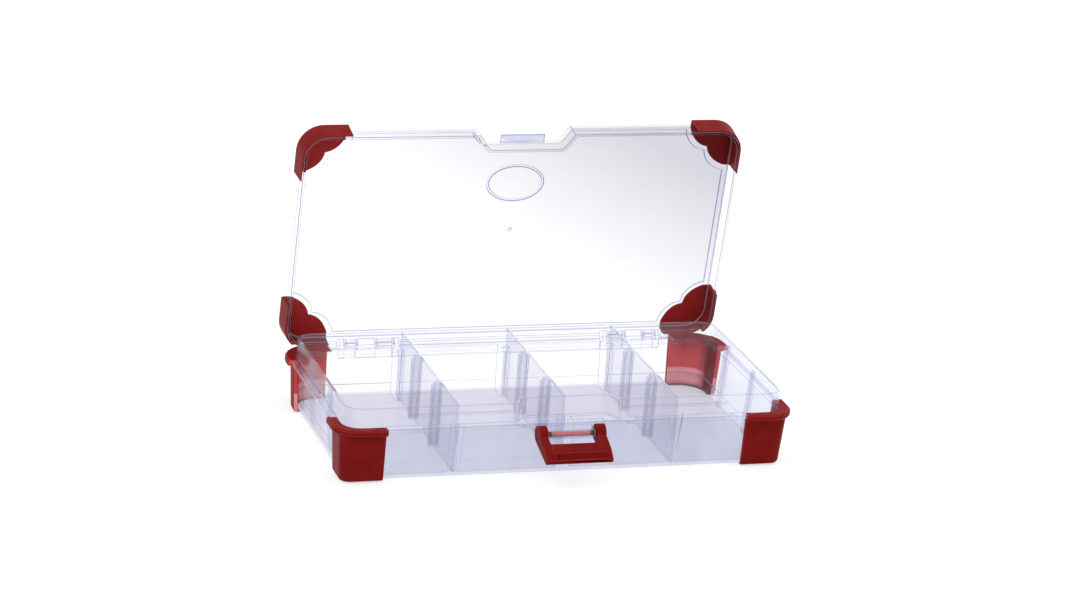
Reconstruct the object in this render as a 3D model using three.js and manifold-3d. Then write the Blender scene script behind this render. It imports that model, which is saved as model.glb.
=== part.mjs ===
// A small parts organizer: a clear tray with a raised rim, three lift-out dividers, a clear lid on two
// snap hinges, soft red caps on all eight corners and a red snap latch at the front.
// Millimetres. +X is to the right seen from the front, +Y to the back, +Z up. The origin is on the
// underside, midway between the rim's left and right and between its front and back.

import * as THREE from 'three';
import { mergeVertices } from 'three/addons/utils/BufferGeometryUtils.js';
import Module from 'manifold-3d';

const wasm = await Module();
wasm.setup();

// Tray
const rimLength = 232;            // outside of the rim, left to right
const rimDepth = 109.4;           // outside of the rim, front to back
const rimCorner = 9;              // outside corner radius of the rim
const ledgeTop = 28.9;            // height of the ledge that the lid closes on
const rimHeight = 9.9;            // the rim above the ledge
const ledgeThickness = 2;
const ledgeReach = 4;             // the ledge past the rim at the front and the sides
const ledgeCorner = 11;
const ledgeBackCorner = 18;
const backCorner = 15;            // corner radius of the lower wall at the back
const hingeShelf = 9.8;           // the ledge past the rim at the back
const backReach = 8.3;            // the lower back wall past the rim
const wall = 1.5;
const floorThickness = 1.6;
const draft = THREE.MathUtils.degToRad(3.5);
const bottomRound = 1.6;          // rounding of the outer bottom edge
const roundRise = 0.3;            // the one step of that rounding, as a share of it
const stepHeight = 7.7;           // below this the walls are a little thicker inside
const stepDepth = 0.4;
const backBandHeight = 5.4;       // stiffening band under the hinge shelf
const backBandDepth = 1;
const rimBeadRadius = 0.45;       // bead on the rim that the lid snaps over
const rimBeadDrop = 4.4;          // the bead below the rim's top
const rimBeadStop = 32;           // the bead ends this far before the rim's end

// Dividers and the ribs that hold them
const dividerPitch = 58;
const dividerThickness = 1.3;
const cheekThickness = 1.2;
const cheekReach = 3.5;           // how far a slot grips the divider's end
const cheekFlare = 1.6;           // extra width of a front cheek where it meets the wall
const guideSpots = [39.7, 77.7];  // ribs for short cross dividers, from the rim's front
const guideWidth = 1;
const guideReach = 2;
const guideGap = 1.7;
const guideTop = 34.5;

// Lid
const lidOverhang = 2.3;          // the lid past the rim at the left and right
const lidFrontOverhang = 2.9;
const lidBackOverhang = 9.9;
const lidCorner = 12;
const lidPlate = 1.3;
const skirtThickness = 1.4;
const lidEdgeRound = 1.2;
const panelHeight = 0.5;          // raised panel on the lid's top
const panelInset = 3.6;
const panelGap = 2.4;             // bare band between a cap and the panel
const notchTopHalf = 25.5;        // half the notch's width at the lid's front edge
const notchBottomHalf = 20;
const notchDepth = 8.4;
const notchCorner = 2.5;
const tabHalf = 12;               // catch that the latch hooks over
const tabReach = 4.4;
const tabDrop = 1.2;              // the catch lies this far below the lid's top
const ovalSetback = 33.2;         // the oval's centre, from the lid's front edge
const ovalHalfX = 15.7;
const ovalHalfY = 10.6;
const ovalWidth = 1.2;
const ovalHeight = 0.5;
const gateSetback = 59.7;         // moulding gate near the middle of the lid, from its front edge
const gateRadius = 0.9;
const gateHeight = 0.3;

// Hinges
const hingeSetback = 7.7;         // the axis behind the rim
const hingeRise = 1.1;            // and above the ledge
const lidOpening = THREE.MathUtils.degToRad(81.3);
const pinRadius = 1;
const knuckleRadius = 2.1;
const lugRadius = 2.1;
const lugClearance = 3.4;         // the back skirt stops this far above the hinge axis
const hingeInset = 43;            // middle of each hinge, from the rim's end
const knuckleSpans = [[-13, -4], [7, 13]]; // two knuckles a hinge, from its middle outward
const lugWidth = 3.2;             // of the outer two lugs; the third fills the space between the knuckles
const lugGap = 0.4;
const lugTangent = 24;            // degrees up a lug where its arm leaves it

// Latch
const latchHalf = 17.7;           // half its width
const cheekWidth = 4.7;
const latchStandoff = 4.6;        // the pivot in front of the rim
const latchFall = 5.7;            // and below the ledge
const latchPinRadius = 1.3;
const latchKnuckleRadius = 2.7;
const earRadius = 4.6;
const cheekEnd = 13.4;             // the cheeks slope back from here to the finger tab
const latchOuter = 2.6;           // from the pivot's plane to the outer face, at the finger tab
const latchInner = 1.8;           // and to the cheeks' inner edge
const fingerTab = 1.2;            // the thinner end that a finger lifts
const fingerTabThickness = 2.5;
const latchEdge = 0.5;            // bevel along its free edge
const windowEnd = 9.3;            // the window ends this far from the pivot
const hookGrip = 1.2;             // how far the hook reaches over the lid's catch
const hookThickness = 1.1;
const latchLean = THREE.MathUtils.degToRad(10);  // inward, when it is closed
const latchDrop = THREE.MathUtils.degToRad(22);  // below level, as it is shown open

// Corner caps
const capThickness = 1.5;
const capEdge = 0.7;              // thickness of a lid cap's wall at its free edge
const capLeg = 26.5;              // length of a lid cap's legs from its outer corner
const capCusp = 15.6;             // the cusp between the two lobes, from the outer corner
const lobeBulge = 2.1;            // how far the lobes swell past the straight line to the cusp
const lobeStart = 5;
const baseCapLeg = 26.5;          // a tray cap along the front and the back
const baseCapSideLeg = 22;        // and along the sides
const baseCapWall = 2.5;
const baseCapBack = 1.6;          // thinner at the back, where the lid swings
const baseCapCorner = 5.5;        // outer corner radius of its wall at the front
const beadHeight = 3.3;           // the cap's bead, down from the ledge's top
const beadReach = 1.5;            // the bead past the ledge
const beadLip = 0.4;              // its raised edge above the ledge
const beadRound = 0.8;
const beadBackGap = 1.5;          // the bead ends this far behind the hinge axis
const flangeThickness = 0.7;      // the cap's top over the hinge shelf

// Clearances
const gap = 0.3;                  // between pieces that touch
const lidHeadroom = 0.3;          // between the rim's top and the lid's plate
const pocketClearance = 0.5;      // between the rim's pocket and the lid's notch
const snapShare = 0.75;           // a snap's mouth, as a share of its pin's width

const smallestRadius = 0.5;
const arcSteps = 8;
const roundSteps = 20;
const ovalSteps = 36;
const overlap = 0.1;              // how far joined shapes run into each other
const past = 1;                   // how far a cutting shape runs past what it cuts
const cornerMargin = 5;           // the same for the shapes of the caps

// Places worked out from the sizes above
const ledgeBottom = ledgeTop - ledgeThickness;
const rimTop = ledgeTop + rimHeight;
const skirtBottom = ledgeTop + gap;
const plateBottom = rimTop + lidHeadroom;
const plateTop = plateBottom + lidPlate;
const catchTop = plateTop - tabDrop;
const beadBottom = ledgeTop - beadHeight;
const beadTop = ledgeTop + beadLip;

const rim = {
  left: -rimLength / 2, right: rimLength / 2, front: -rimDepth / 2, back: rimDepth / 2, radius: rimCorner,
  backRadius: rimCorner,
};
const ledge = {
  left: rim.left - ledgeReach, right: rim.right + ledgeReach, front: rim.front - ledgeReach,
  back: rim.back + hingeShelf, radius: ledgeCorner, backRadius: ledgeBackCorner,
};
const lid = {
  left: rim.left - lidOverhang, right: rim.right + lidOverhang, front: rim.front - lidFrontOverhang,
  back: rim.back + lidBackOverhang, radius: lidCorner, backRadius: lidCorner,
};
const hingeY = rim.back + hingeSetback;
const hingeZ = ledgeTop + hingeRise;
const latchY = rim.front - latchStandoff;
const latchZ = ledgeTop - latchFall;
const guideYs = guideSpots.map((spot) => rim.front + spot);

// Each hinge's spans from left to right, on both sides of the case.
const hingeMiddle = rimLength / 2 - hingeInset;
const lugSpans = [
  [knuckleSpans[0][0] - lugGap - lugWidth, knuckleSpans[0][0] - lugGap],
  [knuckleSpans[0][1] + lugGap, knuckleSpans[1][0] - lugGap],
  [knuckleSpans[1][1] + lugGap, knuckleSpans[1][1] + lugGap + lugWidth],
];

function onBothSides(spans) {
  return spans.flatMap(([near, far]) => [
    [hingeMiddle + near, hingeMiddle + far], [-hingeMiddle - far, -hingeMiddle - near],
  ]);
}

function inset(box, distance) {
  return {
    left: box.left + distance, right: box.right - distance, front: box.front + distance,
    back: box.back - distance, radius: Math.max(box.radius - distance, smallestRadius),
    backRadius: Math.max(box.backRadius - distance, smallestRadius),
  };
}

// The tray's lower wall narrows toward the floor by the mould's draft.
function lowerWall(z) {
  const lean = (ledgeTop - z) * Math.tan(draft);
  const top = { ...rim, back: rim.back + backReach, backRadius: backCorner };
  return inset(top, lean);
}

// Solids and meshes
function toSolid(geometry) {
  const bare = geometry.index ? geometry.toNonIndexed() : geometry.clone();
  bare.deleteAttribute('normal');
  bare.deleteAttribute('uv');
  const merged = mergeVertices(bare, 1e-4);
  return new wasm.Manifold(new wasm.Mesh({
    numProp: 3,
    vertProperties: new Float32Array(merged.attributes.position.array),
    triVerts: new Uint32Array(merged.index.array),
  }));
}

function toMesh(name, solid, material) {
  const { vertProperties, triVerts } = solid.getMesh();
  const geometry = new THREE.BufferGeometry();
  geometry.setAttribute('position', new THREE.BufferAttribute(vertProperties.slice(), 3));
  geometry.setIndex(new THREE.BufferAttribute(triVerts.slice(), 1));
  geometry.computeVertexNormals();
  const mesh = new THREE.Mesh(geometry, material);
  mesh.name = name;
  return mesh;
}

function union(solids) {
  return solids.reduce((whole, piece) => whole.add(piece));
}

// Outlines
function ring(box, z) {
  const { left, right, front, back, radius, backRadius } = box;
  const turns = [
    [right - backRadius, back - backRadius, 0, backRadius],
    [left + backRadius, back - backRadius, 90, backRadius],
    [left + radius, front + radius, 180, radius],
    [right - radius, front + radius, 270, radius],
  ];
  return turns.flatMap(([x, y, start, turn]) => Array.from({ length: arcSteps + 1 }, (_, step) => {
    const angle = THREE.MathUtils.degToRad(start + 90 * step / arcSteps);
    return new THREE.Vector3(x + turn * Math.cos(angle), y + turn * Math.sin(angle), z);
  }));
}

// A closed solid through convex rings of equal length, listed from the bottom up.
function loft(rings) {
  const count = rings[0].length;
  const positions = rings.flat().flatMap((point) => point.toArray());
  const faces = [];
  for (let level = 0; level < rings.length - 1; level += 1) {
    for (let i = 0; i < count; i += 1) {
      const a = level * count + i;
      const b = level * count + (i + 1) % count;
      faces.push(a, b, b + count, a, b + count, a + count);
    }
  }
  const top = (rings.length - 1) * count;
  for (let i = 1; i < count - 1; i += 1) {
    faces.push(0, i + 1, i);
    faces.push(top, top + i, top + i + 1);
  }
  const geometry = new THREE.BufferGeometry();
  geometry.setAttribute('position', new THREE.Float32BufferAttribute(positions, 3));
  geometry.setIndex(faces);
  return toSolid(geometry);
}

function plate(box, bottom, top) {
  return loft([ring(box, bottom), ring(box, top)]);
}

function block(left, right, front, back, bottom, top) {
  const geometry = new THREE.BoxGeometry(right - left, back - front, top - bottom);
  geometry.translate((left + right) / 2, (front + back) / 2, (bottom + top) / 2);
  return toSolid(geometry);
}

function prism(shape, bottom, top) {
  const geometry = new THREE.ExtrudeGeometry(shape, {
    depth: top - bottom, bevelEnabled: false, curveSegments: arcSteps,
  });
  geometry.translate(0, 0, bottom);
  return toSolid(geometry);
}

// A profile drawn as [y, z] points, extruded from left to right.
function sideways(profile, left, right) {
  const shape = new THREE.Shape(profile.map(([y, z]) => new THREE.Vector2(y, z)));
  const geometry = new THREE.ExtrudeGeometry(shape, { depth: right - left, bevelEnabled: false });
  geometry.rotateZ(Math.PI / 2);
  geometry.rotateY(Math.PI / 2);
  geometry.translate(left, 0, 0);
  return toSolid(geometry);
}

// A profile drawn as [x, z] points, extruded from front to back.
function backward(profile, front, back) {
  const shape = new THREE.Shape(profile.map(([x, z]) => new THREE.Vector2(x, z)));
  const geometry = new THREE.ExtrudeGeometry(shape, { depth: back - front, bevelEnabled: false });
  geometry.rotateX(Math.PI / 2);
  geometry.translate(0, back, 0);
  return toSolid(geometry);
}

function rod(radius, y, z, left, right, steps = roundSteps) {
  const geometry = new THREE.CylinderGeometry(radius, radius, right - left, steps);
  geometry.rotateZ(Math.PI / 2);
  geometry.translate((left + right) / 2, y, z);
  return toSolid(geometry);
}

// The lid's front notch, widened all round by a margin. The rim turns in behind it in the same way.
function notch(margin, bottom, top) {
  const slope = (notchTopHalf - notchBottomHalf) / notchDepth;
  const floorY = lid.front + notchDepth + margin;
  const mouthY = lid.front - past;
  const floorHalf = notchBottomHalf + margin;
  const mouthHalf = floorHalf + slope * (floorY - mouthY);
  const along = notchCorner * Math.sin(Math.atan(slope));
  const down = notchCorner * Math.cos(Math.atan(slope));
  const shape = new THREE.Shape();
  shape.moveTo(-mouthHalf, mouthY);
  shape.lineTo(mouthHalf, mouthY);
  shape.lineTo(floorHalf + along, floorY - down);
  shape.quadraticCurveTo(floorHalf, floorY, floorHalf - notchCorner, floorY);
  shape.lineTo(-floorHalf + notchCorner, floorY);
  shape.quadraticCurveTo(-floorHalf, floorY, -floorHalf - along, floorY - down);
  shape.closePath();
  return prism(shape, bottom, top);
}

// Tray
const dividerXs = [-dividerPitch, 0, dividerPitch];
const mouth = { ...inset(lowerWall(ledgeBottom), wall), back: rim.back - wall, backRadius: rimCorner - wall };
const rimPocketMargin = skirtThickness + pocketClearance;
const pocketBack = lid.front + notchDepth + rimPocketMargin;
const slotHalf = dividerThickness / 2 + gap;
const ribFoot = floorThickness / 2;

function innerFront(z, thickened) {
  return lowerWall(z).front + wall + (thickened ? stepDepth : 0);
}

// The front of the slot is the wall, or behind the latch's pocket the back of that pocket.
function slotFront(x) {
  return x === 0 ? pocketBack + wall : mouth.front;
}

function slotRibs(x, outer) {
  const backFin = block(x - slotHalf - cheekThickness, x + slotHalf + cheekThickness,
    mouth.back, outer.back, ribFoot, ledgeBottom + overlap);
  const cheekTop = ledgeBottom + cheekReach / 2;
  const cheeks = [-1, 1].flatMap((side) => {
    const near = x + side * slotHalf;
    const far = near + side * cheekThickness;
    const wide = far + side * cheekFlare;
    const [left, right] = [Math.min(near, far), Math.max(near, far)];
    const backCheek = sideways([
      [mouth.back - cheekReach, ribFoot], [mouth.back + wall / 2, ribFoot],
      [mouth.back + wall / 2, cheekTop], [mouth.back - cheekReach / 3, cheekTop],
      [mouth.back - cheekReach, ledgeBottom - cheekReach / 2],
    ], left, right);
    const wallY = rim.front + wall / 2;
    const tipY = slotFront(x) + cheekReach;
    const plan = new THREE.Shape([
      new THREE.Vector2(near, wallY), new THREE.Vector2(wide, wallY),
      new THREE.Vector2(wide, slotFront(x)), new THREE.Vector2(far, tipY), new THREE.Vector2(near, tipY),
    ]);
    const frontCheek = prism(plan, ribFoot, ledgeBottom + overlap);
    return [backCheek, frontCheek];
  });
  const pocketFill = x === 0
    ? [block(-slotHalf - cheekThickness, slotHalf + cheekThickness, rim.front + wall / 2, slotFront(0),
      ribFoot, ledgeBottom + overlap)]
    : [];
  return union([backFin, ...cheeks, ...pocketFill]);
}

// The pairs of upright ribs for the short cross dividers, from one profile.
function guidePairs(profile) {
  return union(guideYs.flatMap((y) => [-1, 1].map((pair) => {
    const middle = y + pair * (guideGap + guideWidth) / 2;
    return backward(profile, middle - guideWidth / 2, middle + guideWidth / 2);
  })));
}

// Those on the side walls follow the walls' draft.
function wallGuides(side) {
  const foot = side * (lowerWall(floorThickness).right - wall - stepDepth - guideReach);
  const head = side * (lowerWall(guideTop).right - wall - guideReach);
  const profile = [
    [foot, ribFoot], [foot + side * (wall + guideReach), ribFoot],
    [head + side * (wall + guideReach), guideTop + guideReach],
    [head + side * guideReach, guideTop + guideReach], [head, guideTop],
  ];
  return guidePairs(side > 0 ? profile : profile.toReversed());
}

// Open hooks that the lid's pins snap into from behind, on the hinge shelf.
function hingeKnuckles() {
  return union(onBothSides(knuckleSpans).map(([left, right]) => {
    const barrel = rod(knuckleRadius, hingeY, hingeZ, left, right);
    const root = (ledgeBottom + ledgeTop) / 2;
    return barrel.add(block(left, right, hingeY - knuckleRadius, hingeY, root, hingeZ));
  }));
}

// The bores of those hooks, with the narrower entries that make the pins snap.
function pinChannels() {
  const entryHalf = pinRadius * snapShare;
  return union(onBothSides(knuckleSpans).map(([near, far]) => {
    const [left, right] = [near - gap, far + gap];
    const entry = block(left, right, hingeY, ledge.back + knuckleRadius,
      hingeZ + gap - entryHalf, hingeZ + gap + entryHalf);
    return rod(pinRadius + gap, hingeY, hingeZ, left, right).add(entry);
  }));
}

const bandBottom = ledgeBottom - backBandHeight;

// Slots through the shelf in which the lid's lugs swing.
function lugSlots() {
  return union(onBothSides(lugSpans).map(([near, far]) => {
    const [left, right] = [near - gap, far + gap];
    const inShelf = block(left, right, hingeY - lugRadius - 2 * gap, ledge.back + past,
      ledgeBottom - overlap, ledgeTop + past);
    const inBand = block(left, right, lowerWall(ledgeTop).back, ledge.back + past,
      bandBottom - past, ledgeTop);
    return inShelf.add(inBand);
  }));
}

// The bay in the front ledge where the latch stands.
function latchBay() {
  const half = latchHalf + 2 * gap;
  return block(-half, half, ledge.front - past, rim.front, ledgeBottom - past, ledgeTop + past);
}

// The clear barrel in front of the wall that the latch's pin snaps into from below.
function latchKnuckle() {
  const half = latchHalf - cheekWidth - 2 * gap;
  const barrel = rod(latchKnuckleRadius, latchY, latchZ, -half, half);
  const web = block(-half, half, latchY, rim.front + wall / 2, latchZ, latchZ + latchKnuckleRadius);
  const bore = rod(latchPinRadius + gap, latchY, latchZ, -half - past, half + past);
  const entryHalf = latchPinRadius * snapShare;
  const entry = block(-half - past, half + past, latchY - entryHalf, latchY + entryHalf,
    latchZ - latchKnuckleRadius - past, latchZ);
  return barrel.add(web).subtract(bore).subtract(entry);
}

// The rings of a rounded bottom edge, from the floor up.
function foot(boxAt) {
  const rise = bottomRound * roundRise;
  return [
    ring(inset(boxAt(0), bottomRound), 0), ring(inset(boxAt(rise), rise), rise),
    ring(boxAt(bottomRound), bottomRound),
  ];
}

const beadBox = inset(ledge, -gap - beadReach);
const corners = [
  { name: 'front_left', sideX: -1, sideY: -1 }, { name: 'front_right', sideX: 1, sideY: -1 },
  { name: 'back_left', sideX: -1, sideY: 1 }, { name: 'back_right', sideX: 1, sideY: 1 },
];

// The outside of a tray cap's wall.
function capWall(z) {
  const box = inset(lowerWall(z), -gap - baseCapWall);
  return { ...box, back: box.back + baseCapBack - baseCapWall, radius: baseCapCorner };
}

// The part of the case's length and depth that a tray cap takes, widened by a margin.
function capSpan({ sideX, sideY }, margin, bottom, top) {
  const cornerX = sideX > 0 ? beadBox.right : beadBox.left;
  const cornerY = sideY > 0 ? capWall(ledgeTop).back : beadBox.front;
  const span = (outside, inside) => [Math.min(outside, inside), Math.max(outside, inside)];
  const [left, right] = span(cornerX + sideX * cornerMargin, cornerX - sideX * (baseCapLeg + margin));
  const [front, back] = span(cornerY + sideY * cornerMargin, cornerY - sideY * (baseCapSideLeg + margin));
  return block(left, right, front, back, bottom, top);
}

// At the corners the ledge stops at the wall below it, and the shelf is lower, because the caps lie there.
function cappedLedge() {
  const seats = union(corners.map((corner) => capSpan(corner, gap, ledgeBottom - past, ledgeTop + past)));
  const kept = plate(lowerWall(ledgeTop), ledgeBottom - past, ledgeTop - flangeThickness - gap);
  return plate(ledge, ledgeBottom, ledgeTop).subtract(seats.subtract(kept));
}

function makeTray() {
  const shellOuter = loft([...foot(lowerWall), ring(lowerWall(ledgeBottom + overlap), ledgeBottom + overlap)]);
  const shelf = cappedLedge();
  const rimOuter = plate(rim, ledgeBottom, rimTop).subtract(notch(rimPocketMargin, ledgeTop, rimTop + past));
  const bandBack = lowerWall(ledgeTop).back + backBandDepth;
  const band = block(rim.left + baseCapLeg, rim.right - baseCapLeg, bandBack - 2 * backBandDepth, bandBack,
    bandBottom, ledgeBottom + overlap);
  const lowerCavity = loft([
    ring(inset(lowerWall(floorThickness), wall + stepDepth), floorThickness),
    ring(inset(lowerWall(stepHeight), wall + stepDepth), stepHeight),
  ]).add(loft([
    ring(inset(lowerWall(stepHeight), wall), stepHeight),
    ring(inset(lowerWall(ledgeBottom), wall), ledgeBottom),
  ]));
  const rimCavity = plate(mouth, ledgeBottom - overlap, rimTop + past)
    .subtract(notch(rimPocketMargin + wall, ledgeBottom - past, rimTop + 2 * past));
  const outer = union([shellOuter, shelf, rimOuter]);
  const ribs = union([
    ...dividerXs.map((x) => slotRibs(x, ledge)), wallGuides(-1), wallGuides(1),
  ]).intersect(outer);
  const beadZ = rimTop - rimBeadDrop;
  const rimBeads = [-1, 1].map((side) => {
    const near = side * (notchTopHalf + rimPocketMargin);
    const far = side * (rim.right - rimBeadStop);
    return rod(rimBeadRadius, rim.front, beadZ, Math.min(near, far), Math.max(near, far), roundSteps / 2);
  });
  return union([outer, band])
    .subtract(lowerCavity)
    .subtract(rimCavity)
    .add(ribs)
    .add(union(rimBeads))
    .subtract(latchBay())
    .subtract(lugSlots())
    .add(hingeKnuckles())
    .subtract(pinChannels())
    .add(latchKnuckle());
}

// Dividers
function makeDivider(x) {
  const foot = floorThickness + gap;
  const top = rimTop - gap;
  const back = mouth.back - gap;
  const straight = slotFront(x) + gap;
  const front = (z, thickened) => Math.max(innerFront(z, thickened) + gap, straight);
  const panel = sideways([
    [front(foot, true), foot], [back, foot], [back, top], [straight, top], [straight, ledgeBottom],
    [front(stepHeight, true), stepHeight],
  ], x - dividerThickness / 2, x + dividerThickness / 2);
  const ribs = [-1, 1].map((side) => {
    const face = x + side * (dividerThickness / 2 - overlap);
    const tip = x + side * (dividerThickness / 2 + guideReach);
    const profile = [[face, foot], [tip, foot], [tip, guideTop], [face, guideTop + guideReach]];
    return guidePairs(side > 0 ? profile : profile.toReversed());
  });
  return union([panel, ...ribs]);
}

// Corner regions, drawn from the outer corner: two legs with a pair of lobes between them.
function cornerShape(grow, sideX, sideY, cornerX, cornerY) {
  const leg = capLeg + grow;
  const start = lobeStart + grow;
  const cusp = capCusp + grow * Math.SQRT1_2;
  const place = (u, v) => [cornerX - sideX * u, cornerY - sideY * v];
  const middle = [(leg + cusp) / 2 + lobeBulge, (start + cusp) / 2 + 2 * lobeBulge];
  const outside = -cornerMargin;
  const shape = new THREE.Shape();
  shape.moveTo(...place(outside, outside));
  shape.lineTo(...place(leg, outside));
  shape.lineTo(...place(leg, start));
  shape.quadraticCurveTo(...place(middle[0], middle[1]), ...place(cusp, cusp));
  shape.quadraticCurveTo(...place(middle[1], middle[0]), ...place(start, leg));
  shape.lineTo(...place(outside, leg));
  shape.closePath();
  return shape;
}

const capCorner = inset(lid, -(gap + capThickness));

function cornerPrism({ sideX, sideY }, grow, bottom, top) {
  const x = sideX > 0 ? capCorner.right : capCorner.left;
  const y = sideY > 0 ? capCorner.back : capCorner.front;
  return prism(cornerShape(grow, sideX, sideY, x, y), bottom, top);
}

// Behind the hinge axis the lid and its caps stop above the shelf, so that they clear it as they swing.
function swingRelief(margin) {
  return block(lid.left - cornerMargin, lid.right + cornerMargin,
    hingeY - gap + margin, lid.back + cornerMargin, 0, hingeZ + lugClearance + margin);
}

// Lid, modelled closed
function lidBody(margin, bottom, bottomMargin = margin) {
  const box = inset(lid, -margin);
  const rise = lidEdgeRound * roundRise;
  return loft([
    ring(inset(lid, -bottomMargin), bottom), ring(box, plateTop - lidEdgeRound + margin),
    ring(inset(box, rise), plateTop - rise + margin), ring(inset(box, lidEdgeRound), plateTop + margin),
  ]);
}

function ellipse(halfX, halfY) {
  const shape = new THREE.Shape();
  shape.absellipse(0, lid.front + ovalSetback, halfX, halfY, 0, Math.PI * 2);
  return shape;
}

function ovalRing() {
  const outer = new THREE.Shape(ellipse(ovalHalfX, ovalHalfY).getPoints(ovalSteps).slice(0, -1));
  const inner = ellipse(ovalHalfX - ovalWidth, ovalHalfY - ovalWidth).getPoints(ovalSteps).slice(0, -1);
  outer.holes.push(new THREE.Path(inner));
  return prism(outer, plateTop, plateTop + panelHeight + ovalHeight);
}

function hingeLugs() {
  const tangent = THREE.MathUtils.degToRad(lugTangent);
  const [across, up] = [lugRadius * Math.cos(tangent), lugRadius * Math.sin(tangent)];
  const armTop = (hingeZ + plateTop) / 2;
  const lugs = onBothSides(lugSpans).map(([left, right]) => {
    const arm = sideways([
      [hingeY + across, hingeZ + up], [lid.back, hingeZ + lugClearance], [lid.back, armTop],
      [lid.back - skirtThickness, armTop], [hingeY - across, hingeZ + up],
    ], left, right);
    return rod(lugRadius, hingeY, hingeZ, left, right).add(arm);
  });
  const pinSpan = [lugSpans[0][0] + overlap, lugSpans[2][1] - overlap];
  const pins = onBothSides([pinSpan]).map(([left, right]) => rod(pinRadius, hingeY, hingeZ, left, right));
  return union([...lugs, ...pins]);
}

function makeLid() {
  const body = lidBody(0, skirtBottom).subtract(notch(0, skirtBottom - past, plateTop + past));
  const hollow = plate(inset(lid, skirtThickness), skirtBottom - past, plateBottom)
    .subtract(notch(skirtThickness, skirtBottom - 2 * past, plateBottom + past));
  const capBands = union(corners.map((corner) => cornerPrism(corner, panelGap, plateTop - past,
    plateTop + 2 * past)));
  const panel = plate(inset(lid, panelInset), plateTop - overlap, plateTop + panelHeight)
    .subtract(notch(panelInset - skirtThickness, plateTop - past, plateTop + 2 * past))
    .subtract(capBands);
  const notchBack = lid.front + notchDepth;
  const tab = block(-tabHalf, tabHalf, notchBack - tabReach, notchBack + skirtThickness / 2,
    catchTop - lidPlate, catchTop);
  const gate = new THREE.CylinderGeometry(gateRadius, gateRadius, gateHeight + overlap, roundSteps);
  gate.rotateX(Math.PI / 2);
  gate.translate(0, lid.front + gateSetback, plateBottom - (gateHeight - overlap) / 2);
  return body
    .subtract(hollow)
    .subtract(swingRelief(0))
    .add(panel)
    .add(ovalRing())
    .add(tab)
    .add(toSolid(gate))
    .add(hingeLugs());
}

function makeLidCap(corner) {
  const outer = lidBody(gap + capThickness, skirtBottom + gap, gap + capEdge);
  const inner = lidBody(gap, skirtBottom - past);
  return outer
    .subtract(inner)
    .subtract(swingRelief(gap))
    .intersect(cornerPrism(corner, 0, skirtBottom - past, plateTop + cornerMargin));
}

// Caps on the tray's corners: a wall round the corner, a bead in the ledge's place and, at the back, a flange
// over the hinge shelf.
function makeTrayCap(corner) {
  const caseWall = (z) => inset(lowerWall(z), -gap);
  const wallOuter = loft([...foot(capWall), ring(capWall(ledgeTop), ledgeTop)]);
  const wallInner = loft([
    ring(inset(caseWall(0), bottomRound), -past), ...foot(caseWall),
    ring(caseWall(ledgeTop + past), ledgeTop + past),
  ]);
  const lidRoom = union([ledge, inset(lid, -gap)].map((box) => plate(box, ledgeTop, beadTop + past)));
  const bead = loft([
    ring(inset(beadBox, beadRound), beadBottom), ring(beadBox, beadBottom + beadRound),
    ring(beadBox, beadTop - beadRound), ring(inset(beadBox, beadRound), beadTop),
  ]).subtract(lidRoom);
  const cutBack = block(beadBox.left - past, beadBox.right + past, hingeY + beadBackGap, beadBox.back + past,
    beadBottom - past, beadTop + past).subtract(wallOuter);
  const flange = plate(capWall(ledgeTop), ledgeTop - flangeThickness, ledgeTop)
    .subtract(plate(inset(rim, -gap), ledgeBottom, ledgeTop + past));
  return wallOuter.add(bead)
    .subtract(wallInner)
    .add(flange)
    .subtract(cutBack)
    .intersect(capSpan(corner, 0, -past, beadTop + past));
}

// A point of the closed case, seen from the latch's own frame.
function fromClosed(y, z) {
  const [across, up] = [y - latchY, z - latchZ];
  return [
    across * Math.cos(latchLean) - up * Math.sin(latchLean),
    across * Math.sin(latchLean) + up * Math.cos(latchLean),
  ];
}

// Latch, drawn upright with its pivot at the origin. It faces the tray on its +Y side.
function makeLatch() {
  const catchTip = lid.front + notchDepth - tabReach;
  const [hookReach, hookBottom] = fromClosed(catchTip + hookGrip, catchTop + gap);
  const [barFace] = fromClosed(catchTip - 2 * gap, catchTop);
  const hookTop = hookBottom + hookThickness;
  const latchLength = hookTop + fingerTab;
  const tabFace = fingerTabThickness - latchOuter;
  const tip = [
    [tabFace, hookTop + fingerTab / 2], [tabFace, latchLength],
    [latchEdge - latchOuter, latchLength], [-latchOuter, latchLength - latchEdge],
  ];
  const half = latchHalf - cheekWidth;
  const faceAtWindow = -earRadius - (latchOuter - earRadius) * windowEnd / latchLength;
  const bar = sideways([
    [faceAtWindow, windowEnd], [barFace, windowEnd], [barFace, hookBottom], [hookReach, hookBottom],
    [hookReach, hookBottom + hookThickness / 2], [latchInner, hookTop], ...tip,
  ], -half - overlap, half + overlap);
  const cheeks = [-1, 1].map((side) => {
    const left = side > 0 ? half : -latchHalf;
    const right = left + cheekWidth;
    return rod(earRadius, 0, 0, left, right)
      .add(sideways([[-earRadius, 0], [latchInner, 0], [latchInner, cheekEnd], ...tip], left, right));
  });
  const pin = rod(latchPinRadius, 0, 0, -half - overlap, half + overlap);
  return union([bar, ...cheeks, pin]);
}

// Materials
const clearPlastic = () => new THREE.MeshStandardMaterial({
  color: 0xdfe4f2, roughness: 0.16, metalness: 0, transparent: true, opacity: 0.35,
});
const redPlastic = () => new THREE.MeshStandardMaterial({ color: 0x7b1a1a, roughness: 0.42, metalness: 0 });

// Assembly
const organizer = new THREE.Group();
organizer.add(toMesh('tray', makeTray(), clearPlastic()));
dividerXs.forEach((x, i) => {
  organizer.add(toMesh(`divider_${['left', 'middle', 'right'][i]}`, makeDivider(x), clearPlastic()));
});
corners.forEach((corner) => {
  organizer.add(toMesh(`tray_cap_${corner.name}`, makeTrayCap(corner), redPlastic()));
});

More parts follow.
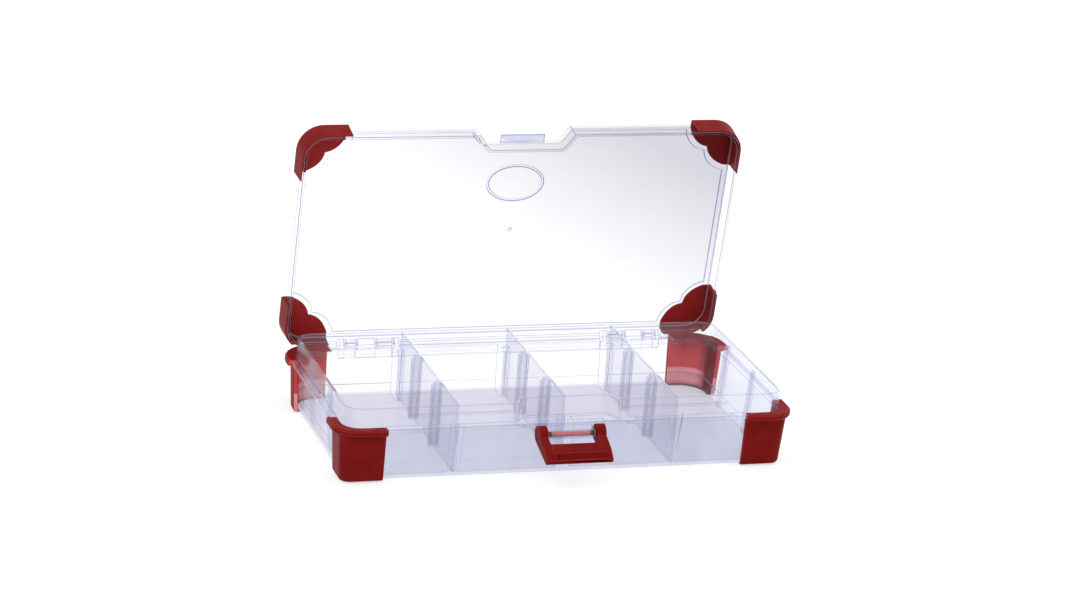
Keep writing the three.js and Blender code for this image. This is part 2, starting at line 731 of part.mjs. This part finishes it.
const lidHinge = new THREE.Group();
lidHinge.position.set(0, hingeY, hingeZ);
lidHinge.rotation.x = -lidOpening;
const toHinge = (solid) => solid.translate([0, -hingeY, -hingeZ]);
lidHinge.add(toMesh('lid', toHinge(makeLid()), clearPlastic()));
corners.forEach((corner) => {
  lidHinge.add(toMesh(`lid_cap_${corner.name}`, toHinge(makeLidCap(corner)), redPlastic()));
});
organizer.add(lidHinge);

// Closed, the latch leans in over the lid's catch. Here it is swung out and down.
const latchHinge = new THREE.Group();
latchHinge.position.set(0, latchY, latchZ);
latchHinge.rotation.x = Math.PI / 2 + latchDrop;
latchHinge.add(toMesh('latch', makeLatch(), redPlastic()));
organizer.add(latchHinge);

export default organizer;
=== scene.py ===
# %% [markdown]
# # A clear parts organizer with red corner caps
#
# This lesson dresses a small workshop case: a clear tray with a raised rim, three lift-out dividers, a clear lid,
# soft red caps on all eight corners and a red snap latch. The frame that is loaded first holds every solid at its
# real size, so nothing here moves or resizes a part. We give each part its finish, round its edges and set up
# the camera, the light and the floor.

# %% Load the frame
import math

import bpy
from mathutils import Matrix, Vector

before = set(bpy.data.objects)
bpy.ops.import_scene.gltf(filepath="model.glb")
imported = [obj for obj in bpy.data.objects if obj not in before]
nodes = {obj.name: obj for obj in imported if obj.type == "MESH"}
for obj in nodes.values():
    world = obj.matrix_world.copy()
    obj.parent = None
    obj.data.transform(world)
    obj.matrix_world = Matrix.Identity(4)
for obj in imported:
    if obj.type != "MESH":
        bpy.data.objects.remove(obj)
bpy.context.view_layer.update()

MM = 0.001

# %% [markdown]
# ## A small kit for materials
#
# Every finish here is a Principled shader. A constant goes on the shader's own socket. What varies over the
# surface, such as a faint cloudiness or the grain left by the mould, is wired in from a noise texture that reads
# the piece's own coordinates, so the pattern stays on the piece when it moves.

# %% Noise, roughness and bump
NOISE_LOW, NOISE_HIGH = 0.3, 0.7    # a noise texture seldom leaves this range


def new_material(name):
    material = bpy.data.materials.new(name)
    material.use_nodes = True
    tree = material.node_tree
    return material, tree, tree.nodes["Principled BSDF"]


def ranged(tree, value, start, end, low=0.0, high=1.0):
    """A value that runs from low to high while the given one runs from start to end."""
    node = tree.nodes.new("ShaderNodeMapRange")
    node.inputs["From Min"].default_value = start
    node.inputs["From Max"].default_value = end
    node.inputs["To Min"].default_value = low
    node.inputs["To Max"].default_value = high
    tree.links.new(value, node.inputs["Value"])
    return node.outputs["Result"]


def noise(tree, scale, detail):
    """A noise texture on the object's own coordinates, with its scale in cycles per metre."""
    place = tree.nodes.new("ShaderNodeTexCoord")
    texture = tree.nodes.new("ShaderNodeTexNoise")
    texture.inputs["Scale"].default_value = scale
    texture.inputs["Detail"].default_value = detail
    tree.links.new(place.outputs["Object"], texture.inputs["Vector"])
    return texture.outputs["Fac"]


def varied(tree, cloud, low, high):
    """A noise spread between two numbers."""
    return ranged(tree, cloud, NOISE_LOW, NOISE_HIGH, low, high)


def bump(tree, shader, height, strength, distance):
    node = tree.nodes.new("ShaderNodeBump")
    node.inputs["Strength"].default_value = strength
    node.inputs["Distance"].default_value = distance
    tree.links.new(height, node.inputs["Height"])
    tree.links.new(node.outputs["Normal"], shader.inputs["Normal"])


print("Noise, roughness and bump are ready")

# %% [markdown]
# ## Colours
#
# Real plastic is never one flat colour, so each colour drifts between two near ones with a noise. Reds are picked on
# a screen, whose numbers follow the eye and not the light, so they are turned into the linear colours of a shader.

# %% Colour helpers


def tint(tree, cloud, first, second):
    """A colour that drifts between two near colours."""
    ramp = tree.nodes.new("ShaderNodeValToRGB")
    ends = zip(ramp.color_ramp.elements, (NOISE_LOW, NOISE_HIGH), (first, second))
    for element, position, colour in ends:
        element.position = position
        element.color = (*colour, 1)
    tree.links.new(cloud, ramp.inputs["Fac"])
    return ramp.outputs["Color"]


def mixed(tree, amount, first, second):
    """A colour socket mixed with a plain colour."""
    node = tree.nodes.new("ShaderNodeMix")
    node.data_type = "RGBA"
    tree.links.new(amount, node.inputs["Factor"])
    tree.links.new(first, node.inputs[6])
    node.inputs[7].default_value = (*second, 1)
    return node.outputs[2]


def linear(red, green, blue):
    """A colour picked on a screen, from 0 to 255, as the linear colour that a shader wants."""
    shares = [c / 255 for c in (red, green, blue)]
    return tuple(s / 12.92 if s <= 0.0404 else ((s + 0.055) / 1.055) ** 2.4 for s in shares)


print("A mid grey on a screen is", round(linear(128, 128, 128)[0], 3), "as a linear colour")

# %% [markdown]
# ## Masks that find a place on a piece
#
# Some walls and corners need a deeper colour than the rest. It could be painted on by hand, but then every piece
# would need a picture wrapped round it. A mask finds the place with arithmetic on the piece's own coordinates or
# normals: it is 1 at the place and 0 elsewhere. Masks that are given together multiply, so they pick the spot where
# all of them hold.

# %% Masks


def worked_out(tree, operation, value, other=None):
    """One step of arithmetic on a value, or on two."""
    node = tree.nodes.new("ShaderNodeMath")
    node.operation = operation
    tree.links.new(value, node.inputs[0])
    if other:
        tree.links.new(other, node.inputs[1])
    return node.outputs[0]


def vector_step(tree, operation, vector, constant=None):
    """One step of arithmetic on a vector."""
    node = tree.nodes.new("ShaderNodeVectorMath")
    node.operation = operation
    tree.links.new(vector, node.inputs[0])
    if constant:
        node.inputs[1].default_value = constant
    return node


def along(tree, output, axis, start, end, either_way=False):
    """0 to 1 along one axis of a coordinate output, or along both of its directions."""
    place = tree.nodes.new("ShaderNodeTexCoord")
    axes = tree.nodes.new("ShaderNodeSeparateXYZ")
    tree.links.new(place.outputs[output], axes.inputs[0])
    value = axes.outputs[axis]
    if either_way:
        value = worked_out(tree, "ABSOLUTE", value)
    return ranged(tree, value, start, end)


def slope(tree, direction, start, end):
    """0 to 1 along a slanting direction of the object's coordinates."""
    place = tree.nodes.new("ShaderNodeTexCoord")
    climb = vector_step(tree, "DOT_PRODUCT", place.outputs["Object"], direction)
    return ranged(tree, climb.outputs["Value"], start, end)


def near(tree, point, squeeze, reach):
    """1 close to a point, 0 away from it. Each axis can be squeezed, so the place need not be round."""
    fading = 1.05
    place = tree.nodes.new("ShaderNodeTexCoord")
    offset = vector_step(tree, "SUBTRACT", place.outputs["Object"], point)
    squeezed = vector_step(tree, "MULTIPLY", offset.outputs[0], squeeze)
    away = vector_step(tree, "LENGTH", squeezed.outputs[0])
    return ranged(tree, away.outputs["Value"], reach * fading, reach)


def regional(tree, colour, regions):
    """The colour with other colours where some masks meet."""
    for masks, there in regions:
        amount = None
        for mask, arguments in masks:
            value = mask(tree, *arguments)
            amount = worked_out(tree, "MULTIPLY", amount, value) if amount else value
        colour = mixed(tree, amount, colour, there)
    return colour


print("Masks along an axis, along a slope and near a point are ready")

# %% [markdown]
# ## The clear plastic
#
# The case is moulded in clear plastic with a cool lavender cast. Clear plastic could be made as glass, but glass
# bends what lies behind it and turns thin walls dark at their edges, so the bend is kept very small here. A faint
# tint sits on the surface, and a volume absorption takes a little more red and green from each millimetre that the
# eye looks through. A thin coat adds the pale gleam on walls seen at a low angle. Light from the lamps passes
# through almost unchanged, so a clear piece throws only a faint shadow.

# %% A recipe for clear plastic
SLIGHT_BEND = 1.015
INSIDE_CAST = (0.1, 0.2, 0.8, 1)
TAKEN_PER_METRE = 6
LAMPLIGHT_THROUGH = (0.96, 0.965, 0.99, 1)
COAT_ROUGHNESS = 0.06
SMOOTHEST, ROUGHEST = 0.03, 0.08
CLOUDINESS = 0.02


def add_inside(tree):
    """The colour inside the plastic."""
    inside = tree.nodes.new("ShaderNodeVolumeAbsorption")
    inside.inputs["Color"].default_value = INSIDE_CAST
    inside.inputs["Density"].default_value = TAKEN_PER_METRE
    tree.links.new(inside.outputs["Volume"], tree.nodes["Material Output"].inputs["Volume"])


def let_lamps_through(tree, shader):
    """A shadow ray meets a thin clear sheet, every other ray meets the plastic."""
    path = tree.nodes.new("ShaderNodeLightPath")
    thin = tree.nodes.new("ShaderNodeBsdfTransparent")
    thin.inputs["Color"].default_value = LAMPLIGHT_THROUGH
    either = tree.nodes.new("ShaderNodeMixShader")
    tree.links.new(path.outputs["Is Shadow Ray"], either.inputs[0])
    tree.links.new(shader.outputs[0], either.inputs[1])
    tree.links.new(thin.outputs[0], either.inputs[2])
    tree.links.new(either.outputs[0], tree.nodes["Material Output"].inputs["Surface"])


def clear_plastic(name, milk, through, coat, bend=SLIGHT_BEND, regions=()):
    material, tree, shader = new_material(name)
    shader.inputs["Transmission Weight"].default_value = 1 - milk
    shader.inputs["IOR"].default_value = bend
    shader.inputs["Coat Weight"].default_value = coat
    shader.inputs["Coat Roughness"].default_value = COAT_ROUGHNESS
    cloudy = tuple(c * (1 - CLOUDINESS) for c in through)
    colour = tint(tree, noise(tree, scale=60, detail=3), cloudy, through)
    tree.links.new(regional(tree, colour, regions), shader.inputs["Base Color"])
    rough = varied(tree, noise(tree, scale=900, detail=2), SMOOTHEST, ROUGHEST)
    tree.links.new(rough, shader.inputs["Roughness"])
    bump(tree, shader, noise(tree, scale=45, detail=1), strength=0.06, distance=0.4 * MM)
    add_inside(tree)
    let_lamps_through(tree, shader)
    print("Made the", name)
    return material


# %% [markdown]
# ## Tray and dividers
#
# The tray lets almost all light through. Its front wall under the ledge, its floor and its two ends are given deeper
# tints, painted shade for the shadowed ground and the extra plastic that the eye looks through there. Each gets its
# own tint, with a mask that begins about where that wall does.
# The dividers are a shade greyer all over.

# %% Tray and dividers
# the tints below are painted shade: deeper where the eye looks through more plastic onto the shadowed ground
right_end = (along, ("Object", "X", 111.5 * MM, 112.5 * MM))
left_end = (along, ("Object", "X", -111.5 * MM, -112.5 * MM))
bottom = (along, ("Object", "Z", 3 * MM, 2 * MM))
front = (along, ("Object", "Y", -50 * MM, -52 * MM))
below_ledge = (along, ("Object", "Z", 27 * MM, 26 * MM))
tray_clear = clear_plastic(
    "clear tray plastic", milk=0.02, through=(0.97, 0.97, 0.99), coat=0.35,
    regions=[
        ([right_end], (0.86, 0.87, 0.94)),
        ([left_end], (0.90, 0.90, 0.96)),
        ([bottom], (0.75, 0.74, 0.80)),
        ([front, below_ledge], (0.81, 0.84, 0.90)),
    ],
)
divider_clear = clear_plastic("clear divider plastic", milk=0.02, through=(0.87, 0.865, 0.91), coat=0.15)

# %% [markdown]
# ## Lid and edges
#
# The lid is clearer than the tray. Its big panel is painted grey towards the upper right corner, a painted
# reflection of a darker side of the room, so a mask climbs that way over the faces that look to the front or back,
# and the tab that the latch holds has a lavender of its own. Moulded edges scatter a little light, so all the clear
# pieces share a milkier finish for their rounded edges; its deeper lavender paints the line that refraction draws
# along a clear edge.

# %% Lid and edges
panel = (along, ("Normal", "Y", 0.3, 0.7, True))
# painted reflection: the panel greys towards its far upper corner
far_corner = (slope, ((0.475, 0, 0.880), 68.2 * MM, 158.7 * MM))
tab = (near, ((0, 53.5 * MM, 146.5 * MM), (0.4, 1, 1), 5 * MM))
lid_clear = clear_plastic(
    "clear lid plastic", milk=0.004, through=(0.99, 0.99, 1.0), coat=0.03, bend=1.03,
    regions=[([panel, far_corner], (0.62, 0.61, 0.66)), ([tab], (0.62, 0.64, 0.80))],
)
# the milkier edge finish is the plastic's own haze; its deeper lavender is a painted line for the refraction along
# clear edges
clear_edge = clear_plastic("edge of the clear plastic", milk=0.3, through=(0.78, 0.80, 0.91), coat=0.04)

# %% [markdown]
# ## The red plastic
#
# The caps are a softer plastic than the case, dark red, with a fine eggshell grain from the mould. The latch is
# the same red but harder, so it shines a little more. A low bend of the light keeps a pale haze off both, which
# the white surroundings would otherwise lay over such a dark colour.

# %% A recipe for red plastic
RED_BEND = 1.12
SMOOTHER, ROUGHER = -0.05, 0.06    # how far the roughness strays from its middle
CAP_REDS = ((122, 21, 20), (134, 27, 26))
LATCH_REDS = ((112, 15, 15), (123, 20, 19))
# the edge reds are a painted highlight along the rounded red edges
EDGE_HIGHLIGHT_REDS = ((140, 34, 33), (150, 42, 40))


def red_plastic(name, roughness, grain, reds=CAP_REDS, regions=()):
    material, tree, shader = new_material(name)
    shader.inputs["IOR"].default_value = RED_BEND
    colour = tint(tree, noise(tree, scale=120, detail=3), *(linear(*red) for red in reds))
    colour = regional(tree, colour, [(masks, linear(*there)) for masks, there in regions])
    tree.links.new(colour, shader.inputs["Base Color"])
    rough = varied(tree, noise(tree, scale=700, detail=2), roughness + SMOOTHER, roughness + ROUGHER)
    tree.links.new(rough, shader.inputs["Roughness"])
    bump(tree, shader, noise(tree, scale=2600, detail=2), strength=grain, distance=0.05 * MM)
    print("Made the", name)
    return material


# %% [markdown]
# ## Caps and latch
#
# Where red lies against the clear plastic, the lamps reach it only through the clear, so its red is painted lighter
# there: painted light. That is done on the inner faces of the lid caps and the back tray caps, which the object's
# own normals find, lighter still low on the back caps, and on the latch's pin inside its clear barrel, found by its
# distance from the pin's middle, where the pink is a painted highlight.

# %% Caps and latch
to_front = (along, ("Normal", "Y", -0.3, -0.7))
low_down = (along, ("Object", "Z", 10.5 * MM, 9.5 * MM))
pin = (near, ((0, -59.3 * MM, 23.2 * MM), (0.156, 1, 1), 2 * MM))
cap_red = red_plastic("soft red plastic", roughness=0.42, grain=0.25)
# painted light: the lid caps' faces that look to the front are painted a lighter red
lid_red = red_plastic(
    "soft red plastic painted lighter behind the lid", roughness=0.42, grain=0.25, regions=[([to_front], (155, 27, 25))],
)
# painted light: the back caps' faces that look to the front are painted much lighter, and lighter still low down
back_red = red_plastic(
    "soft red plastic painted lighter behind the clear", roughness=0.42, grain=0.25,
    regions=[([to_front], (225, 75, 72)), ([to_front, low_down], (255, 165, 165))],
)
# painted highlight: the pin inside the clear barrel is painted pink
latch_red = red_plastic(
    "hard red plastic", roughness=0.34, grain=0.12, reds=LATCH_REDS, regions=[([pin], (215, 120, 120))],
)
# painted highlight: the red bevels are a lighter red
red_edge_highlight = red_plastic("painted highlight on the red edges", roughness=0.3, grain=0.1, reds=EDGE_HIGHLIGHT_REDS)

# %% [markdown]
# ## Who wears what
#
# Each part has one slot for its finish. We fill it and add a second slot for the finish of its edges, which the
# bevel will use. The names of the parts say which finish they want.

# %% Give the finishes
FINISHES = {"lid": lid_clear, "latch": latch_red, "tray_cap_back_left": back_red, "tray_cap_back_right": back_red}


def is_red(name):
    return "cap" in name or name == "latch"


def finish_of(name):
    if name in FINISHES:
        return FINISHES[name]
    if is_red(name):
        return lid_red if name.startswith("lid") else cap_red
    return divider_clear if name.startswith("divider") else tray_clear


for name, piece in nodes.items():
    piece.material_slots[0].material = finish_of(name)
    piece.data.materials.append(red_edge_highlight if is_red(name) else clear_edge)
print("Finishes given to", len(nodes), "parts")

# %% [markdown]
# ## Join the triangles
#
# The solids come as loose triangles that only touch. A bevel needs edges that are shared by two faces, so a small
# node group merges the corners that lie at the same place, drops the old normals and shades the surface smooth.

# %% Join the triangles


def joined_triangles():
    group = bpy.data.node_groups.new("join triangles", "GeometryNodeTree")
    group.interface.new_socket("Geometry", in_out="INPUT", socket_type="NodeSocketGeometry")
    group.interface.new_socket("Geometry", in_out="OUTPUT", socket_type="NodeSocketGeometry")
    merge = group.nodes.new("GeometryNodeMergeByDistance")
    merge.inputs["Distance"].default_value = 0.01 * MM
    plain = group.nodes.new("GeometryNodeRemoveAttribute")
    plain.inputs["Name"].default_value = "custom_normal"
    smooth = group.nodes.new("GeometryNodeSetShadeSmooth")
    start, end = group.nodes.new("NodeGroupInput"), group.nodes.new("NodeGroupOutput")
    steps = [start, merge, plain, smooth, end]
    for before, after in zip(steps, steps[1:]):
        group.links.new(before.outputs[0], after.inputs[0])
    return group


join = joined_triangles()
print("The node group has", len(join.nodes), "steps")

# %% [markdown]
# ## Rounded edges
#
# Moulded plastic has no sharp edges, and the light that runs along a rounded edge is what makes it look real. Flat
# faces that the solids hold as many slivers are made whole first, because a bevel would fold a sliver over. Only
# the tray keeps its triangles: its walls are pierced by so many slots that whole faces would overlap. Then a bevel
# rounds each real edge and gives it the edge finish, which paints a highlight on the red edges and a deeper lavender
# line on the clear ones, and weighted normals keep the flat walls flat.

# %% Round the edges
RED_ROUND, CLEAR_ROUND = 0.3 * MM, 0.2 * MM
SHARP = math.radians(40)
FLAT = math.radians(0.5)
EDGE_SLOT = 1


def make_faces_whole(piece):
    whole = piece.modifiers.new("whole flat faces", "DECIMATE")
    whole.decimate_type = "DISSOLVE"
    whole.angle_limit = FLAT


def round_edges(piece, radius):
    bevel = piece.modifiers.new("rounded edges", "BEVEL")
    bevel.width = radius
    bevel.segments = 2
    bevel.limit_method = "ANGLE"
    bevel.angle_limit = SHARP
    bevel.use_clamp_overlap = False
    bevel.miter_outer = "MITER_ARC"
    bevel.material = EDGE_SLOT
    weigh = piece.modifiers.new("flat walls stay flat", "WEIGHTED_NORMAL")
    weigh.weight = 100


for name, piece in nodes.items():
    piece.modifiers.new("join", "NODES").node_group = join
    if name != "tray":
        make_faces_whole(piece)
    round_edges(piece, RED_ROUND if is_red(name) else CLEAR_ROUND)
print("Edges rounded on", len(nodes), "parts")

# %% [markdown]
# ## Camera
#
# The photograph was taken from the front left, a little above the case, with a long lens and a slightly tilted
# camera. We place the camera by its angles and its distance from a point in the middle of the case.

# %% Where the camera looks
look_right = math.radians(18.88)
look_down = math.radians(18.93)
tilt = math.radians(4.66)
distance = 1.922
middle = Vector((27.4, 96.8, 38.8)) * MM

forward = Vector((
    math.sin(look_right) * math.cos(look_down), math.cos(look_right) * math.cos(look_down), -math.sin(look_down),
))
level = Vector((math.cos(look_right), -math.sin(look_right), 0))
upright = level.cross(forward)
right = math.cos(tilt) * level + math.sin(tilt) * upright
up = -math.sin(tilt) * level + math.cos(tilt) * upright
print("The camera looks along", [round(v, 3) for v in forward])

# %% Camera
LENS_MM, SENSOR_MM = 119.7, 36

camera_data = bpy.data.cameras.new("camera")
camera_data.lens = LENS_MM
camera_data.sensor_width = SENSOR_MM
camera_data.clip_start = 0.05
camera_data.clip_end = 50
camera = bpy.data.objects.new("camera", camera_data)
axes = Matrix((right, up, -forward)).transposed()
camera.matrix_world = Matrix.Translation(middle - forward * distance) @ axes.to_4x4()
bpy.context.scene.collection.objects.link(camera)
bpy.context.scene.camera = camera
print("The camera stands at", [round(v, 3) for v in camera.matrix_world.translation])

# %% [markdown]
# ## A white room
#
# The case stands in plain white, as on a seamless paper sweep. The camera sees the world pure white. Clear walls
# that mirror or pass the world see it fade towards the front, as a room does behind the lamps, and that gives them
# their soft greys. Surfaces that are lit by the world get its plain white light.

# %% White world
BEHIND_THE_CAMERA, WHITE = 0.4, 1.0
FADE_START, FADE_END = -0.5, 0.3


def background(tree):
    node = tree.nodes.new("ShaderNodeBackground")
    node.inputs["Color"].default_value = (1, 1, 1, 1)
    node.inputs["Strength"].default_value = WHITE
    return node


def choose(tree, where, first, second):
    """The first shader where the value is 0, the second where it is 1."""
    mix = tree.nodes.new("ShaderNodeMixShader")
    tree.links.new(where, mix.inputs[0])
    tree.links.new(first.outputs[0], mix.inputs[1])
    tree.links.new(second.outputs[0], mix.inputs[2])
    return mix


def after_a_matt_bounce(tree, path):
    bounced = tree.nodes.new("ShaderNodeMath")
    bounced.operation = "GREATER_THAN"
    bounced.inputs[1].default_value = 0.5
    tree.links.new(path.outputs["Diffuse Depth"], bounced.inputs[0])
    return bounced.outputs[0]


def white_world():
    world = bpy.data.worlds.new("white room")
    world.use_nodes = True
    tree = world.node_tree
    tree.nodes.clear()
    path = tree.nodes.new("ShaderNodeLightPath")
    fading = background(tree)
    fade = along(tree, "Generated", "Y", FADE_START, FADE_END)
    strength = ranged(tree, fade, 0.0, 1.0, BEHIND_THE_CAMERA, WHITE)
    tree.links.new(strength, fading.inputs["Strength"])
    seen = choose(tree, path.outputs["Is Camera Ray"], fading, background(tree))
    lit = choose(tree, after_a_matt_bounce(tree, path), seen, background(tree))
    tree.links.new(lit.outputs[0], tree.nodes.new("ShaderNodeOutputWorld").inputs["Surface"])
    return world


bpy.context.scene.world = white_world()
print("The world is white")

# %% [markdown]
# ## The floor
#
# The floor is matt paper that keeps the soft contact shadow. It is lifted to white only as the camera, a mirror or
# a clear wall sees it, so it throws no extra light on the case.

# %% White floor
FLOOR_SIZE = 12
FLOOR_DROP = 0.4 * MM
PAPER = (0.5, 0.5, 0.5, 1)
LIFT = 0.6


def floor_lift(tree):
    """How much light the floor adds: only for the rays that look at it."""
    path = tree.nodes.new("ShaderNodeLightPath")
    looked_at = path.outputs["Is Camera Ray"]
    for ray in ("Is Glossy Ray", "Is Transmission Ray"):
        looked_at = worked_out(tree, "MAXIMUM", looked_at, path.outputs[ray])
    return ranged(tree, looked_at, 0.0, 1.0, 0.0, LIFT)


def floor_paper():
    material = bpy.data.materials.new("white floor")
    material.use_nodes = True
    tree = material.node_tree
    tree.nodes.clear()
    paper = tree.nodes.new("ShaderNodeBsdfDiffuse")
    paper.inputs["Color"].default_value = PAPER
    glow = tree.nodes.new("ShaderNodeEmission")
    tree.links.new(floor_lift(tree), glow.inputs["Strength"])
    both = tree.nodes.new("ShaderNodeAddShader")
    tree.links.new(paper.outputs[0], both.inputs[0])
    tree.links.new(glow.outputs[0], both.inputs[1])
    tree.links.new(both.outputs[0], tree.nodes.new("ShaderNodeOutputMaterial").inputs["Surface"])
    return material


bpy.ops.mesh.primitive_plane_add(size=FLOOR_SIZE, location=(0, 0, -FLOOR_DROP))
floor = bpy.context.active_object
floor.name = "floor"
floor.data.materials.append(floor_paper())
print("The floor lies", round(FLOOR_DROP / MM, 1), "mm below the case")

# %% [markdown]
# ## Lamps
#
# Two large soft lamps stand in front of the case. The key lamp on the left gives the caps their shape, and a weaker
# fill lamp on the right keeps their far sides from going black. Both are weak, so that a colour shows about as it
# was picked.

# %% Lamps
CASE_MIDDLE = Vector((0, 0, 0.05))


def soft_lamp(name, place, size, power):
    data = bpy.data.lights.new(name, "AREA")
    data.shape = "SQUARE"
    data.size = size
    data.energy = power
    lamp = bpy.data.objects.new(name, data)
    lamp.location = place
    lamp.rotation_mode = "QUATERNION"
    lamp.rotation_quaternion = (CASE_MIDDLE - Vector(place)).to_track_quat("-Z", "Y")
    bpy.context.scene.collection.objects.link(lamp)
    print("The", name, "gives", power, "watts")


soft_lamp("key lamp", place=(-1.1, -0.9, 1.6), size=0.9, power=5)
soft_lamp("fill lamp", place=(1.3, -0.7, 1.2), size=1.1, power=2)
bpy.context.scene.view_settings.view_transform = "Standard"
